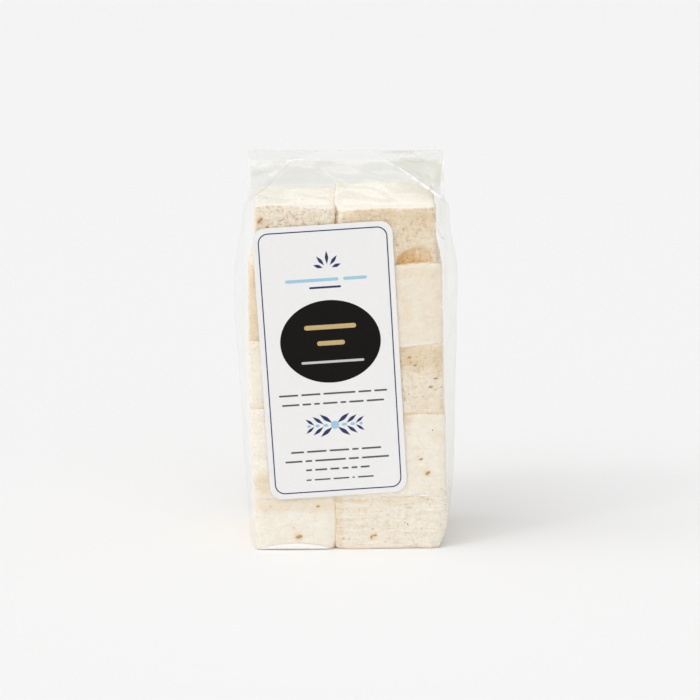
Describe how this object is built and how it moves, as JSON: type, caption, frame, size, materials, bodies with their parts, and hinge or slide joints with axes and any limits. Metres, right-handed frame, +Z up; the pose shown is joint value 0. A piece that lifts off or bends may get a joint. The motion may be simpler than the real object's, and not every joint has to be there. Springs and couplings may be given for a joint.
{
  "type": "bag of marshmallows",
  "caption": "Tall clear side-gusset film bag with a flat top seam, filled with two columns of soft square-cut marshmallow blocks, with a paper sticker set slightly askew on its front.",
  "frame": {"origin": "middle of the pack's footprint, on the surface it stands on", "axes": "+Z up along the pack's height, front with the sticker faces -Y, +X to the right of a viewer who faces the front"},
  "size_m": [0.0834, 0.0444, 0.147],
  "materials": {
    "bag": "clear glossy film over pale cream marshmallow",
    "label": "smooth white sticker paper"
  },
  "bodies": {
    "root": {"bag": "bag", "label": "label"}
  },
  "joints": []
}
